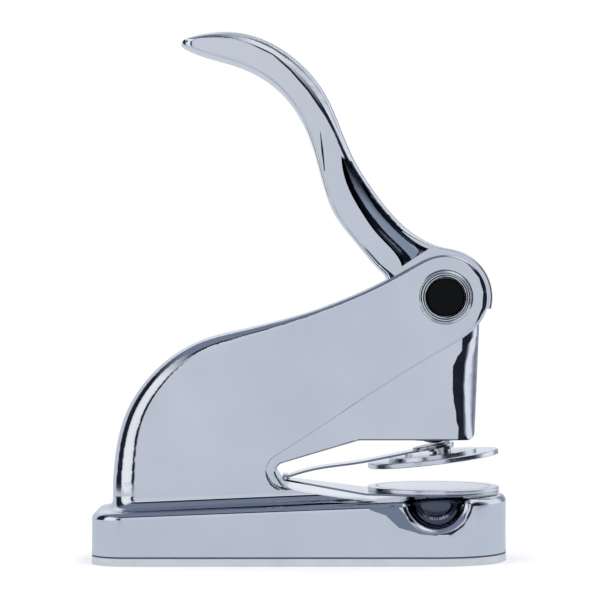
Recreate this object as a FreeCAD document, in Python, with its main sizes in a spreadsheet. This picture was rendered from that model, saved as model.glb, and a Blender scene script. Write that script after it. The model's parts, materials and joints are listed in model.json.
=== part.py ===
import FreeCAD, Part
import math
import os
import Sketcher
from FreeCAD import Placement, Rotation, Vector

# Desk seal embosser. +X runs from the back of the hump to the dies, -Y is the right-hand side,
# +Z is up. The origin is the middle of the pad's underside. Sizes are in millimetres.

document = FreeCAD.newDocument("seal_embosser")
sheet = document.addObject("Spreadsheet::Sheet", "sizes")

DRIVING = {
    # foot of the casting: a long slab with a round front end, a little higher under the dies
    "base_length": 143.6,
    "base_width": 49.0,
    "base_corner": 12.0,
    "base_rear_height": 14.6,
    "base_front_height": 20.1,
    "base_round": 2.5,
    "pad_height": 3.2,
    "pad_tuck": 0.5,
    "scoop_radius": 10.2,
    "scoop_rim": 2.4,
    "scoop_inset": 0.4,
    "scoop_rise": 0.6,
    # hump: an upright back, a big round shoulder and a hollow-backed slope up to the boss
    "hump_side_gap": 8.0,
    "hump_gap": 6.9,
    "hump_radius": 48.5,
    "hump_rake": 0.4,
    "hump_centre_rise": 14.0,
    "hump_corner": 8.6,
    "shoulder_round": 6.2,
    "crest_round": 3.5,
    "slope_round": 2.0,
    "hump_skirt": 4.2,
    "waist_back": 48.8,
    "waist_drop": 5.7,
    "neck_back": 19.8,
    "neck_rise": 6.0,
    # boss round the axle, its two cheeks, and the nose that houses the plunger
    "axle_ahead": 3.3,
    "axle_height": 49.2,
    "boss_radius": 14.8,
    "boss_round": 1.4,
    "cheek_thickness": 6.7,
    "nose_step": 1.0,
    "nose_round": 7.0,
    "nose_foot_ahead": 10.5,
    "nose_foot_round": 3.0,
    "nose_taper": 0.8,
    "nose_clearance": 16.7,
    "step_knee_back": 2.6,
    "step_knee_drop": 19.2,
    "step_round": 0.5,
    # throat between nose and foot: its roof's bend, its round end and the ramp down to the foot
    "throat_bend_back": 29.3,
    "throat_depth": 51.9,
    "throat_rise": 6.0,
    "throat_radius": 3.0,
    "throat_lip": 3.2,
    "throat_round": 0.9,
    "ramp_length": 31.4,
    # lever: swan neck, hub and cam in one casting
    "handle_lean": 91.3,
    "handle_rise": 92.0,
    "handle_back_round": 3.4,
    "handle_tip_round": 4.5,
    "handle_front_round": 0.9,
    "flute_depth": 2.8,
    "flute_start": 1.0,
    "flute_ribs": 7,
    "hub_radius": 16.8,
    "hub_round": 0.8,
    "hub_low_radius": 12.4,
    "hub_step": 14.0,
    "handle_travel": 38.0,
    "cam_drop": 13.0,
    "cam_gap": 0.1,
    "stop_gap": 0.3,
    "slot_clearance": 0.3,
    "slot_back": 42.3,
    "slot_corner": 3.4,
    # axle, with a chrome ring and a black plug in each cheek
    "axle_radius": 5.0,
    "axle_clearance": 0.05,
    "sleeve_wall": 1.5,
    "ring_sleeve_radius": 7.0,
    "ring_radius": 9.5,
    "ring_proud": 1.6,
    "ring_depth": 5.0,
    "ring_flange": 0.9,
    "ring_lip": 1.2,
    "ring_groove": 0.5,
    "ring_bevel": 0.4,
    "axle_end_gap": 0.1,
    "cap_radius": 6.6,
    "cap_seat": 1.4,
    "cap_proud": 1.0,
    "cap_bevel": 0.5,
    "cap_clearance": 0.05,
    # plunger
    "plunger_radius": 4.5,
    "plunger_clearance": 0.05,
    "head_thickness": 5.0,
    "head_reach": 12.6,
    "head_clearance": 0.6,
    "bore_radius": 8.0,
    "bush_height": 7.6,
    "bush_flange_radius": 8.9,
    "bush_flange": 0.6,
    "foot_dome": 8.0,
    "washer_thickness": 0.8,
    "washer_play": 0.6,
    "spring_radius": 6.2,
    "spring_wire": 1.3,
    "spring_coils": 5.5,
    # die clip, placed from the middle of the lower die's face
    "die_setback": 25.3,
    "die_radius": 22.9,
    "seat_radius": 10.5,
    "seat_rise": 1.17,
    "lower_die_thickness": 1.5,
    "leaf_thickness": 0.7,
    "upper_die_thickness": 1.75,
    "upper_die_tilt": 6.75,
    "die_opening": 8.8,
    "closing_gap": 0.2,
    "die_border_radius": 19.5,
    "die_border": 0.7,
    "die_border_depth": 0.3,
    "edge_break": 0.2,
    "holder_radius": 15.4,
    "holder_thickness": 0.9,
    "clip_root_back": 51.7,
    "clip_root_rise": 3.1,
    "clip_eye_radius": 1.1,
    "clip_pin_radius": 0.6,
    "pin_clearance": 0.05,
    "knuckle_width": 5.6,
    "knuckle_gap": 0.2,
    "eye_clearance": 0.4,
    "leaf_root_width": 12.0,
    "upper_leaf_width": 11.0,
    "leaf_tilt": 11.4,
    "leaf_bow": 0.9,
    "leaf_end_radius": 7.9,
    "pad_radius": 6.6,
    "pad_thickness": 0.7,
    "pad_back": 0.6,
    "rocker_back": 8.5,
    "rocker_rise": 10.9,
    "rocker_pin_radius": 0.45,
    "ear_gap": 0.5,
    "ear_thickness": 1.4,
    "stud_ahead": 3.25,
    "stud_radius": 3.3,
    "stud_height": 1.0,
    "ferrule_gap": 0.35,
    "ferrule_wall": 0.8,
    "ferrule_height": 1.0,
    "peg_radius": 2.0,
    "peg_length": 3.7,
    "peg_sunk": 3.2,
    "peg_clearance": 0.1,
}

for row, (alias, value) in enumerate(DRIVING.items(), start=1):
    sheet.set(f"A{row}", alias)
    sheet.set(f"B{row}", str(value))
    sheet.setAlias(f"B{row}", alias)
document.recompute()


def size(alias):
    return float(sheet.get(alias))


# ---- places worked out from the sheet ----

half_length = size("base_length") / 2
half_width = size("base_width") / 2
half_hump = half_width - size("hump_side_gap")
half_nose = half_hump - size("nose_step")
half_slot = half_hump - size("cheek_thickness")
half_handle = half_slot - size("slot_clearance")
hump_rear = -half_length + size("hump_gap")
hump_x = hump_rear + size("hump_radius") + size("hump_rake")
hump_z = size("pad_height") + size("base_rear_height") + size("hump_centre_rise")
far = 4 * size("base_length")


def base_top(x):
    """Height of the foot's sloping top at x."""
    rise = size("base_front_height") - size("base_rear_height")
    return size("pad_height") + size("base_rear_height") + rise * (x + half_length) / size("base_length")


die_x = half_length - size("die_setback")
leaf_bottom = base_top(die_x) + size("seat_rise")
leaf_top = leaf_bottom + size("leaf_thickness")
die_level = leaf_top + size("lower_die_thickness")
nose_z = die_level + size("nose_clearance")
axle_x = die_x + size("axle_ahead")
axle_z = nose_z + size("axle_height")
nose_foot_x = axle_x + size("nose_foot_ahead")
throat_bend_x = axle_x - size("throat_bend_back")
throat_x = die_x - size("throat_depth")
throat_z = die_level + size("throat_rise")
clip_x = die_x - size("clip_root_back")
clip_z = die_level + size("clip_root_rise")
rocker_x = die_x - size("rocker_back")
rocker_z = die_level + size("rocker_rise")

# The upper die hangs from a rocker pin on the upper leaf. These follow it from open to closed:
# the leaf's swing, the die's tilt on the leaf, and how far the plunger has to come down.
die_open_z = die_level + size("die_opening")
tilt = math.radians(size("upper_die_tilt"))
closed_hang = size("rocker_back") * math.sin(tilt) + (rocker_z - die_open_z) * math.cos(tilt)
closed_rocker_z = die_level + size("closing_gap") + closed_hang
arm_swing = math.degrees(math.atan2(rocker_z - clip_z, rocker_x - clip_x)
                         - math.asin((closed_rocker_z - clip_z)
                                     / math.hypot(rocker_x - clip_x, rocker_z - clip_z)))
rock_swing = arm_swing - size("upper_die_tilt")
dome_lift = size("leaf_thickness") / 2 + size("pad_thickness") + size("foot_dome") + size("cam_gap")


def dome_centre(leaf_angle):
    """Height of the plunger's dome centre with the upper leaf at this angle."""
    a = math.radians(leaf_angle)
    return clip_z + ((die_x - clip_x) * math.sin(a) + dome_lift) / math.cos(a)


dome_z = dome_centre(size("leaf_tilt"))
plunger_travel = dome_z - dome_centre(size("leaf_tilt") - arm_swing)
travel = math.radians(size("handle_travel"))
cam_reach = plunger_travel / travel
cam_toe_radius = math.hypot(cam_reach, size("cam_drop") + plunger_travel)
head_top = axle_z - size("cam_drop") - size("cam_gap")
head_bottom = head_top - size("head_thickness")
slot_floor = head_bottom - plunger_travel - size("head_clearance")
stop_z = axle_z - size("hub_radius") * math.sin(math.radians(size("hub_step"))) - size("stop_gap")


def turn(x, z, degrees):
    a = math.radians(degrees)
    return x * math.cos(a) - z * math.sin(a), x * math.sin(a) + z * math.cos(a)


def polar(cx, cz, radius, degrees):
    a = math.radians(degrees)
    return side(cx + radius * math.cos(a), cz + radius * math.sin(a))


def side(x, z):
    """A point of the side view, in the plane of symmetry."""
    return Vector(x, 0, z)


def arc(cx, cz, radius, start, end):
    spots = [polar(cx, cz, radius, start + (end - start) * share) for share in (0, 0.5, 1)]
    return Part.Arc(*spots).toShape()


def path(points):
    return [Part.makeLine(a, b) for a, b in zip(points, points[1:])]


def smooth(points, first, last):
    """A smooth curve through the points, leaving and arriving in the given directions."""
    lengths = [0.0]
    for a, b in zip(points, points[1:]):
        lengths.append(lengths[-1] + a.distanceToPoint(b))
    curve = Part.BSplineCurve()
    curve.interpolate(Points=points, Parameters=lengths, Scale=False,
                      InitialTangent=first.normalize(), FinalTangent=last.normalize())
    return curve


def at_share(curve, share):
    """Point at this share of a curve's run."""
    first, last = curve.FirstParameter, curve.LastParameter
    return curve.value(first + share * (last - first))


def slab(edges, width):
    """The side-view outline as a solid of the given width, centred on the plane of symmetry."""
    solid = Part.Face(Part.Wire(edges)).extrude(Vector(0, width, 0))
    solid.translate(Vector(0, -width / 2, 0))
    return solid


def block(x0, x1, y0, y1, z0, z1):
    return Part.makeBox(x1 - x0, y1 - y0, z1 - z0, Vector(x0, y0, z0))


def upright(radius, x, z0, z1):
    return Part.makeCylinder(radius, z1 - z0, Vector(x, 0, z0))


def across(radius, width, x=axle_x, z=axle_z):
    return Part.makeCylinder(radius, width, Vector(x, -width / 2, z), Vector(0, 1, 0))


def plan_outline(rear, front, half, corner, z, round_front):
    """Closed plan outline at height z with round rear corners and a round or square front."""
    c = corner * math.sqrt(0.5)

    def p(x, y):
        return Vector(x, y, z)

    rim = [Part.makeLine(p(rear, -half + corner), p(rear, half - corner)),
           Part.Arc(p(rear, half - corner), p(rear + corner - c, half - corner + c),
                    p(rear + corner, half)).toShape(),
           Part.Arc(p(rear, -half + corner), p(rear + corner - c, -half + corner - c),
                    p(rear + corner, -half)).toShape()]
    straight = front - half if round_front else front
    rim += [Part.makeLine(p(rear + corner, half), p(straight, half)),
            Part.makeLine(p(rear + corner, -half), p(straight, -half))]
    if round_front:
        rim.append(Part.Arc(p(straight, -half), p(front, 0), p(straight, half)).toShape())
    else:
        rim.append(Part.makeLine(p(front, -half), p(front, half)))
    return Part.Face(Part.Wire(Part.__sortEdges__(rim)))


def edges_near(shape, spots, tolerance=0.01):
    """Numbers of the edges that pass through the given spots."""
    numbers = []
    for spot in spots:
        vertex = Part.Vertex(spot)
        numbers.append(next(number for number, edge in enumerate(shape.Edges, start=1)
                            if edge.distToShape(vertex)[0] < tolerance))
    return numbers


def split(curve, spots):
    """The curve cut at these spots, and the point halfway along each stretch."""
    marks = [curve.parameter(spot) for spot in spots]
    stretches = []
    for start, end in zip(marks, marks[1:]):
        stretch = curve.copy()
        stretch.segment(start, end)
        stretches.append(stretch.toShape())
    return stretches, [curve.value((start + end) / 2) for start, end in zip(marks, marks[1:])]


def rounded_along(name, solid, half, middles, radii):
    """Rounds both side-view edges through these points, each stretch going from radius to radius."""
    last = document.addObject("Part::Feature", name + "_blank")
    last.Shape = solid
    for side_name, y in (("_right_round", -half), ("_left_round", half)):
        rounding = document.addObject("Part::Fillet", name + side_name)
        rounding.Base = last
        numbers = edges_near(last.Shape, [Vector(m.x, y, m.z) for m in middles])
        rounding.Edges = [(number, a, b) for number, a, b in zip(numbers, radii, radii[1:])]
        document.recompute()
        last = rounding
    return last.Shape


# ---- helpers for sheet-bound bodies ----

def origin_plane(body, role):
    return next(f for f in body.Origin.OriginFeatures if f.Role == role)


def sketch_on(body, role, corners):
    """A closed outline whose corners are pairs of expressions, each bound to the sheet."""
    sketch = body.newObject("Sketcher::SketchObject", body.Name + "_outline")
    sketch.AttachmentSupport = [(origin_plane(body, role), "")]
    sketch.MapMode = "FlatFace"
    spots = [[float(sketch.evalExpression(text)) for text in corner] for corner in corners]
    for number, spot in enumerate(spots):
        other = spots[(number + 1) % len(spots)]
        sketch.addGeometry(Part.LineSegment(Vector(*spot, 0), Vector(*other, 0)), False)
    for number in range(len(spots)):
        sketch.addConstraint(Sketcher.Constraint("Coincident", number, 2, (number + 1) % len(spots), 1))
    for number, (spot, corner) in enumerate(zip(spots, corners)):
        for kind, place, text, axis in (("DistanceX", spot[0], corner[0], -2),
                                        ("DistanceY", spot[1], corner[1], -1)):
            if abs(place) < 1e-9:
                sketch.addConstraint(Sketcher.Constraint("PointOnObject", number, 1, axis))
            else:
                index = sketch.addConstraint(Sketcher.Constraint(kind, -1, 1, number, 1, place))
                sketch.setExpression(f"Constraints[{index}]", text)
    return sketch


def bind_place(thing, x="0", y="0", z="0", rotation=None):
    if rotation is not None:
        thing.Placement = Placement(Vector(0, 0, 0), rotation)
    for axis, text in (("x", x), ("y", y), ("z", z)):
        thing.setExpression(f"Placement.Base.{axis}", text)


def turned(label, corners, x="0", y="0", z="0", rotation=None):
    """A turned piece: corners are radius and height, spun about the piece's own Z."""
    body = document.addObject("PartDesign::Body", label)
    sketch = sketch_on(body, "XZ_Plane", corners)
    spin = body.newObject("PartDesign::Revolution", label + "_turned")
    spin.Profile = sketch
    spin.ReferenceAxis = (sketch, ["V_Axis"])
    spin.Angle = 360
    bind_place(body, x, y, z, rotation)
    return body


def cylinder(label, radius, height, x="0", y="0", z="0", rotation=None):
    piece = document.addObject("Part::Cylinder", label)
    piece.setExpression("Radius", radius)
    piece.setExpression("Height", height)
    bind_place(piece, x, y, z, rotation)
    return piece


def box(label, length, width, height, x="0", y="0", z="0"):
    piece = document.addObject("Part::Box", label)
    piece.setExpression("Length", length)
    piece.setExpression("Width", width)
    piece.setExpression("Height", height)
    bind_place(piece, x, y, z)
    return piece


def joined(label, pieces):
    whole = document.addObject("Part::MultiFuse", label)
    whole.Shapes = pieces
    whole.Refine = True
    return whole


def shaped(label, shape):
    piece = document.addObject("Part::Feature", label)
    piece.Shape = shape
    return piece


TO_RIGHT = Rotation(Vector(1, 0, 0), 90)    # a piece's own +Z turned to -Y
TO_LEFT = Rotation(Vector(1, 0, 0), -90)    # a piece's own +Z turned to +Y

subparts = {}


def keep(label, piece):
    piece.Label = label
    subparts[label] = piece


# ---- frame casting ----

def above_foot(lift):
    """Everything more than this lift over the foot's sloping top."""
    rear = side(-far, base_top(-far) + lift)
    return slab(path([rear, side(far, base_top(far) + lift), side(far, far), side(-far, far), rear]), far)


def base_slab():
    """The foot, cut to its sloping top, rounded along the rim and tucked in above the pad."""
    low = size("pad_height")
    slab_blank = plan_outline(-half_length, half_length, half_width, size("base_corner"), low, True)
    blank = slab_blank.extrude(Vector(0, 0, 2 * size("base_front_height")))
    blank = blank.cut(above_foot(0))
    rim = [edge for edge in blank.Edges
           if all(abs(v.Z - base_top(v.X)) < 1e-4 for v in edge.Vertexes)]
    return blank.makeFillet(size("base_round"), rim)


def rooted_foot(slab_solid):
    """The foot with the root of the hump standing on it in a hollow skirt."""
    front = throat_x + size("ramp_length") * 1.25
    low = base_top(hump_rear) / 2
    root = plan_outline(hump_rear, front, half_hump, size("hump_corner"), low, False)
    root = root.extrude(Vector(0, 0, throat_z)).cut(above_foot(1.2 * size("hump_skirt")))
    rooted = slab_solid.fuse(root)
    seam = [edge for edge in rooted.Edges
            if all(abs(v.Z - base_top(v.X)) < 1e-4 and abs(v.Y) < half_hump + 0.01
                   for v in edge.Vertexes) and edge.BoundBox.XMin < front - 1]
    return rooted.makeFillet(size("hump_skirt"), seam)


LIP_ANGLES = (122, 270)
lip_high, lip_low = [polar(throat_x, throat_z, size("throat_radius") + size("throat_lip"), angle)
                     for angle in LIP_ANGLES]
waist = side(axle_x - size("waist_back"), axle_z - size("waist_drop"))
neck = side(axle_x - size("neck_back"), axle_z + size("neck_rise"))


def boss_tangent():
    """Where the slope meets the boss: the tangent point and its direction in degrees."""
    dx = axle_x - neck.x
    dz = axle_z - neck.z
    reach = math.hypot(dx, dz)
    angle = math.atan2(dz, dx) + math.asin(size("boss_radius") / reach)
    run = math.sqrt(reach ** 2 - size("boss_radius") ** 2)
    return neck + side(run * math.cos(angle), run * math.sin(angle)), math.degrees(angle)


def hump_slab():
    """The flat-sided hump and boss, with the rounding along their edge thinning towards the boss."""
    tangent, slope = boss_tangent()
    direction = side(math.cos(math.radians(slope)), math.sin(math.radians(slope)))
    stations = [side(hump_rear, hump_z - 0.7 * size("hump_corner"))]
    stations += [polar(hump_x, hump_z, size("hump_radius"), angle) for angle in (178, 158, 135, 112, 98)]
    stations += [waist, neck, tangent]
    back = smooth(stations, side(0, 1), direction)
    top, middles = split(back, [stations[number] for number in (0, 3, 5, 6, 8)])
    boss_start = slope + 90
    boss_end = -47.5
    boss_low = polar(axle_x, axle_z, size("boss_radius"), boss_end)
    knee = side(axle_x - size("step_knee_back"), axle_z - size("step_knee_drop"))
    lip = size("throat_radius") + size("throat_lip")
    step = smooth([boss_low, knee, lip_high], side(-0.74, -0.68), side(-0.85, -0.53)).toShape()
    deep = hump_z / 2
    outline = path([side(hump_rear, deep), stations[0]]) + top
    outline += [arc(axle_x, axle_z, size("boss_radius"), boss_start, boss_end)]
    outline += [step, arc(throat_x, throat_z, lip, *LIP_ANGLES)]
    outline += path([lip_low, side(lip_low.x, deep), side(hump_rear, deep)])
    middles = [(side(hump_rear, deep) + stations[0]) / 2] + middles
    middles += [polar(axle_x, axle_z, size("boss_radius"), (boss_start + boss_end) / 2)]
    middles += [step.valueAt(step.LastParameter / 2), side(throat_x - lip, throat_z)]
    radii = [size(name) for name in ("hump_corner", "hump_corner", "shoulder_round", "crest_round",
                                     "slope_round", "boss_round", "boss_round", "step_round", "step_round")]
    return rounded_along("hump", slab(outline, 2 * half_hump), half_hump, middles, radii)


# The ramp's course, as shares of its length and of its fall from the throat's middle.
RAMP = [(-0.013, 0.453), (0.172, 0.670), (0.490, 0.828)]


def throat_line():
    """Side-view edges of the throat from the roof's bend round its end and down the ramp."""
    radius = size("throat_radius")
    bend = side(throat_bend_x, nose_z)
    reach = math.hypot(bend.x - throat_x, bend.z - throat_z)
    roof = math.degrees(math.atan2(bend.z - throat_z, bend.x - throat_x) + math.acos(radius / reach))
    length = size("ramp_length")
    fall = throat_z - base_top(throat_x + length)
    spots = [side(throat_x + x * length, throat_z - z * fall) for x, z in RAMP + [(1.0, 1.005)]]
    ramp = smooth([polar(throat_x, throat_z, radius, 215)] + spots, side(0.57, -0.82), side(1, -0.06))
    edges = path([bend, polar(throat_x, throat_z, radius, roof)])
    edges += [arc(throat_x, throat_z, radius, roof, 215), ramp.toShape()]
    return edges, spots[-1]


def corner_block(corner, first, second, radius):
    """What a rounding of this radius takes off a side-view corner between two neighbours."""
    one = (first - corner).normalize()
    other = (second - corner).normalize()
    half_angle = one.getAngle(other) / 2
    reach = radius / math.tan(half_angle)
    start = corner + one * reach
    end = corner + other * reach
    middle = corner + (one + other).normalize() * (radius / math.sin(half_angle) - radius)
    outer = corner - (one + other)
    return slab([Part.Arc(start, middle, end).toShape()] + path([end, outer, start]), far)


def nose_slab():
    """The tapering nose under the boss, and the iron behind and under the throat."""
    throat_edges, ramp_end = throat_line()
    front_top = polar(axle_x, axle_z, size("boss_radius"), -34)
    foot = side(nose_foot_x, nose_z)
    bend = side(throat_bend_x, nose_z)
    inside = side(axle_x - size("slot_back") / 2, axle_z - size("boss_radius") / 2)
    rear = throat_x - 2 * (size("throat_radius") + size("throat_lip"))
    root = base_top(rear) / 2
    outline = path([inside, front_top, foot, bend]) + throat_edges
    outline += path([ramp_end, side(ramp_end.x, root), side(rear, root), side(rear, throat_z), inside])
    solid = slab(outline, 2 * half_nose)
    front = half_nose - size("nose_taper")
    plan = [Vector(x, y, 0) for x, y in (
        (rear, -half_nose), (throat_x, -half_nose), (front_top.x, -front), (front_top.x, front),
        (throat_x, half_nose), (rear, half_nose), (rear, -half_nose))]
    solid = solid.common(Part.Face(Part.Wire(path(plan))).extrude(Vector(0, 0, far)))
    middle = (front_top + foot) / 2
    taper = size("nose_taper") / (front_top.x - throat_x)
    half_front = front + taper * (front_top.x - middle.x)
    uprights = edges_near(solid, [Vector(middle.x, y, middle.z) for y in (-half_front, half_front)], 0.1)
    solid = solid.makeFillet(size("nose_round"), [solid.Edges[n - 1] for n in uprights])
    solid = solid.cut(corner_block(foot, front_top, bend, size("nose_foot_round")))
    rear_of_throat = throat_x - size("throat_radius")
    rim = edges_near(solid, [Vector(rear_of_throat, y, throat_z) for y in (-half_nose, half_nose)])
    return solid.makeFillet(size("throat_round"), [solid.Edges[n - 1] for n in rim])


def fork_space():
    """The slot between the cheeks: room for the hub, the cam, the plunger's head and the stem."""
    width = 2 * half_slot
    gap = size("head_clearance")
    front_wall = die_x + size("head_reach") - gap
    cam_room = across(cam_toe_radius + 2 * gap, width).common(
        block(-far, front_wall, -far, far, slot_floor, stop_z))
    hub_room = across(size("hub_low_radius") + gap, width)
    front_room = block(axle_x - gap, axle_x + far, -half_slot, half_slot, stop_z, axle_z + far)
    shaft = block(die_x - size("head_reach") - gap, front_wall, -half_slot, half_slot, slot_floor, axle_z)
    low_neck = turn(neck.x - axle_x, neck.z - axle_z, size("handle_travel"))[1]
    rear = axle_x - size("slot_back")
    stem_room = block(rear, axle_x, -half_slot, half_slot, axle_z + low_neck - 3 * gap, axle_z + far)
    corners = edges_near(stem_room, [Vector(rear, y, axle_z) for y in (-half_slot, half_slot)])
    stem_room = stem_room.makeFillet(size("slot_corner"), [stem_room.Edges[n - 1] for n in corners])
    return cam_room.multiFuse([hub_room, front_room, shaft, stem_room])


def scooped(solid, y_sign):
    """A round finger scoop in the foot's top edge beside the dies, with a soft rim."""
    level = base_top(die_x)
    centre = Vector(die_x, y_sign * (half_width - size("scoop_inset")), level + size("scoop_rise"))
    radius = size("scoop_radius")
    hollow = solid.cut(Part.makeSphere(radius, centre))
    rim = []
    for edge in hollow.Edges:
        if edge.Length < size("scoop_inset"):
            continue
        start, end = edge.ParameterRange
        spots = [edge.valueAt(start + (end - start) * share) for share in (0.1, 0.5, 0.9)]
        if all(abs(spot.distanceToPoint(centre) - radius) < 0.01 for spot in spots):
            rim.append(edge)
    return hollow.makeFillet(size("scoop_rim"), rim)


def throat_cut():
    """The open throat between nose and foot, full width, down to the ramp."""
    nose_edges, ramp_end = throat_line()
    start = side(far, nose_z)
    low = side(ramp_end.x, base_top(ramp_end.x))
    front = side(far, base_top(far))
    return slab(path([start, side(throat_bend_x, nose_z)]) + nose_edges
                + path([ramp_end, low, front, start]), far)


def casting():
    foot = rooted_foot(base_slab())
    foot = scooped(scooped(foot, -1), 1).cut(throat_cut())
    solid = foot.multiFuse([hump_slab(), nose_slab()])
    seat = upright(size("seat_radius"), die_x, base_top(die_x) / 2, leaf_bottom)
    solid = solid.fuse(seat).cut(fork_space())
    hole = size("axle_radius") + size("axle_clearance")
    bores = [upright(size("bore_radius"), die_x, die_level, head_top),
             across(hole, far),
             upright(size("peg_radius"), die_x, leaf_bottom - size("peg_sunk"), nose_z)]
    for y_sign in (-1, 1):
        mouth = Vector(axle_x, y_sign * (half_hump - size("ring_depth")), axle_z)
        bores.append(Part.makeCylinder(size("ring_sleeve_radius"), far, mouth, Vector(0, y_sign, 0)))
    return solid.cut(bores)


# ---- handle ----

# Outlines of the lever and its flute, as shares of its lean, and of its rise beyond the hub.
BACK_EDGE = [(-0.9945, 0.9574), (-0.9266, 0.9880), (-0.7711, 0.9973), (-0.6057, 0.9149),
             (-0.4589, 0.7314), (-0.3461, 0.4242), (-0.2574, 0.2527), (-0.1402, 0.0931), (-0.0230, 0.0120)]
FRONT_EDGE = [(-1.0, 0.9455), (-0.9529, 0.9202), (-0.7689, 0.8497), (-0.6166, 0.7301),
              (-0.5192, 0.5479), (-0.4567, 0.3005), (-0.4096, 0.1582), (-0.3319, 0.0346), (-0.2300, -0.1064)]
FLUTE_FRONT = [(-0.3903, 0.4266), (-0.3736, 0.3093), (-0.3315, 0.2039), (-0.2591, 0.0737),
               (-0.2011, -0.0004), (-0.1749, -0.0359), (-0.1606, -0.0814)]
FLUTE_BACK = [(-0.3770, 0.4114), (-0.3527, 0.3759), (-0.2735, 0.2319), (-0.1575, 0.0769),
              (-0.0996, 0.0239), (-0.0590, -0.0004)]


def lever_spots(shares):
    hub = size("hub_radius")
    reach = size("handle_rise") - hub
    return [side(axle_x + x * size("handle_lean"), axle_z + hub + z * reach) for x, z in shares]


def cam_spot(share):
    """Point of the cam that presses the plunger after this share of the lever's travel."""
    angle = travel * share
    drop = size("cam_drop") + cam_reach * angle
    return side(axle_x - cam_reach * math.cos(angle) - drop * math.sin(angle),
                axle_z + cam_reach * math.sin(angle) - drop * math.cos(angle))


def handle_outline(back, front, hub_start):
    """Side view of the lever, hub and cam, closed from the tip round to the tip."""
    hub = size("hub_radius")
    low = size("hub_low_radius")
    step = -size("hub_step")
    toe = cam_spot(1)
    root = smooth([front[-1], toe], side(0.75, -0.66), side(-0.4, -0.92))
    cam = smooth([cam_spot(1 - number / 8) for number in range(9)],
                 side(math.cos(travel), -math.sin(travel)), side(1, 0))
    front_edge = smooth(front, side(0.9, -0.4), side(0.75, -0.66))
    outline = back + [arc(axle_x, axle_z, hub, hub_start, step)]
    outline += path([polar(axle_x, axle_z, hub, step), polar(axle_x, axle_z, low, step)])
    outline += [arc(axle_x, axle_z, low, step, -90)]
    outline += path([polar(axle_x, axle_z, low, -90), cam_spot(0)])
    return outline + [cam.toShape(), root.toShape(), front_edge.toShape()]


def handle_shape():
    hub_start = 80
    spots = lever_spots(BACK_EDGE) + [polar(axle_x, axle_z, size("hub_radius"), hub_start)]
    back = smooth(spots, side(0.86, 0.5), side(0.985, -0.174))
    top, middles = split(back, [spots[0], spots[2], spots[6], spots[-1]])
    front = lever_spots(FRONT_EDGE)
    outline = handle_outline(top, front, hub_start) + path([front[0], spots[0]])
    middles += [polar(axle_x, axle_z, size("hub_radius"), hub_start / 2)]
    back_round = size("handle_back_round")
    radii = [size("hub_round"), back_round, back_round, size("hub_round"), size("hub_round")]
    solid = rounded_along("handle", slab(outline, 2 * half_handle), half_handle, middles, radii)
    tip = plan_outline(front[0].x, far, half_handle, size("handle_tip_round"), 0, False)
    solid = solid.common(tip.extrude(Vector(0, 0, far)))
    middle = lever_spots(FRONT_EDGE[4:5])[0]
    front_rim = edges_near(solid, [Vector(middle.x, y, middle.z) for y in (-half_handle, half_handle)])
    solid = solid.makeFillet(size("handle_front_round"), [solid.Edges[n - 1] for n in front_rim])
    bore = size("axle_radius") + size("axle_clearance") + size("sleeve_wall")
    return solid.cut([flute(-1), flute(1), across(bore, far)])


def flute(y_sign):
    """The hollow in one side of the lever: a trough that widens and deepens down to the hub."""
    front = smooth(lever_spots(FLUTE_FRONT), side(0.1, -1), side(0.3, -0.9))
    back = smooth(lever_spots(FLUTE_BACK), side(0.5, -0.87), side(0.8, -0.5))
    outward = Vector(0, y_sign, 0)
    flat = outward * half_handle
    count = int(size("flute_ribs"))
    ribs = []
    for number in range(count):
        share = number / (count - 1)
        left, right = [at_share(curve, share) + flat for curve in (front, back)]
        depth = min(size("flute_depth") * math.sqrt(share), (right - left).Length / 2)
        middle = (left + right) / 2 - outward * max(depth, size("flute_start"))
        rim = Part.Arc(left, middle, right).toShape()
        ribs.append(Part.Wire([rim] + path([right, right + outward, left + outward, left])))
    return Part.makeLoft(ribs, True).cut(across(size("hub_radius"), 3 * far))


keep("frame_casting", shaped("casting", casting()))
keep("handle", shaped("lever", handle_shape()))


# ---- values the small parts are bound to ----

DERIVED = {
    "axle_bore": size("axle_radius") + size("axle_clearance"),
    "stem_bore": size("plunger_radius") + size("plunger_clearance"),
    "cheek_face": half_hump,
    "handle_width": 2 * half_handle,
    "head_half": half_handle - size("slot_clearance"),
    "head_top": head_top,
    "head_bottom": head_bottom,
    "dome_z": dome_z,
    "nose_z": nose_z,
    "bush_top": nose_z + size("bush_height"),
    "axle_x": axle_x,
    "axle_z": axle_z,
    "die_x": die_x,
    "leaf_bottom": leaf_bottom,
    "leaf_top": leaf_top,
    "clip_x": clip_x,
    "clip_z": clip_z,
    "rocker_x": rocker_x,
    "rocker_z": rocker_z,
}
for row, (alias, value) in enumerate(DERIVED.items(), start=len(DRIVING) + 2):
    sheet.set(f"A{row}", alias)
    sheet.set(f"B{row}", str(value))
    sheet.setAlias(f"B{row}", alias)
document.recompute()


# ---- base pad ----

def pad_outline(grow):
    """Pad blank in two steps: the full footprint, and the tuck under the casting's edge."""
    rear = f"-sizes.base_length / 2 + {grow}"
    corner = "sizes.base_corner"
    flank = "sizes.base_width / 2"
    tail = f"pad_{grow}".replace(".", "_")
    pieces = [
        box(tail + "_middle", f"sizes.base_length - {corner} - {flank}", f"2 * ({flank} - {grow})",
            "sizes.pad_height", f"-sizes.base_length / 2 + {corner}", f"-({flank} - {grow})"),
        box(tail + "_rear", corner, f"2 * ({flank} - {corner})", "sizes.pad_height", rear,
            f"-({flank} - {corner})"),
        cylinder(tail + "_nose", f"{flank} - {grow}", "sizes.pad_height",
                 f"sizes.base_length / 2 - {flank}"),
    ]
    for number, sign in enumerate(("", "-")):
        pieces.append(cylinder(f"{tail}_corner_{number}", f"{corner} - {grow}", "sizes.pad_height",
                               f"-sizes.base_length / 2 + {corner}", f"{sign}({flank} - {corner})"))
    return joined(tail, pieces)


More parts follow.
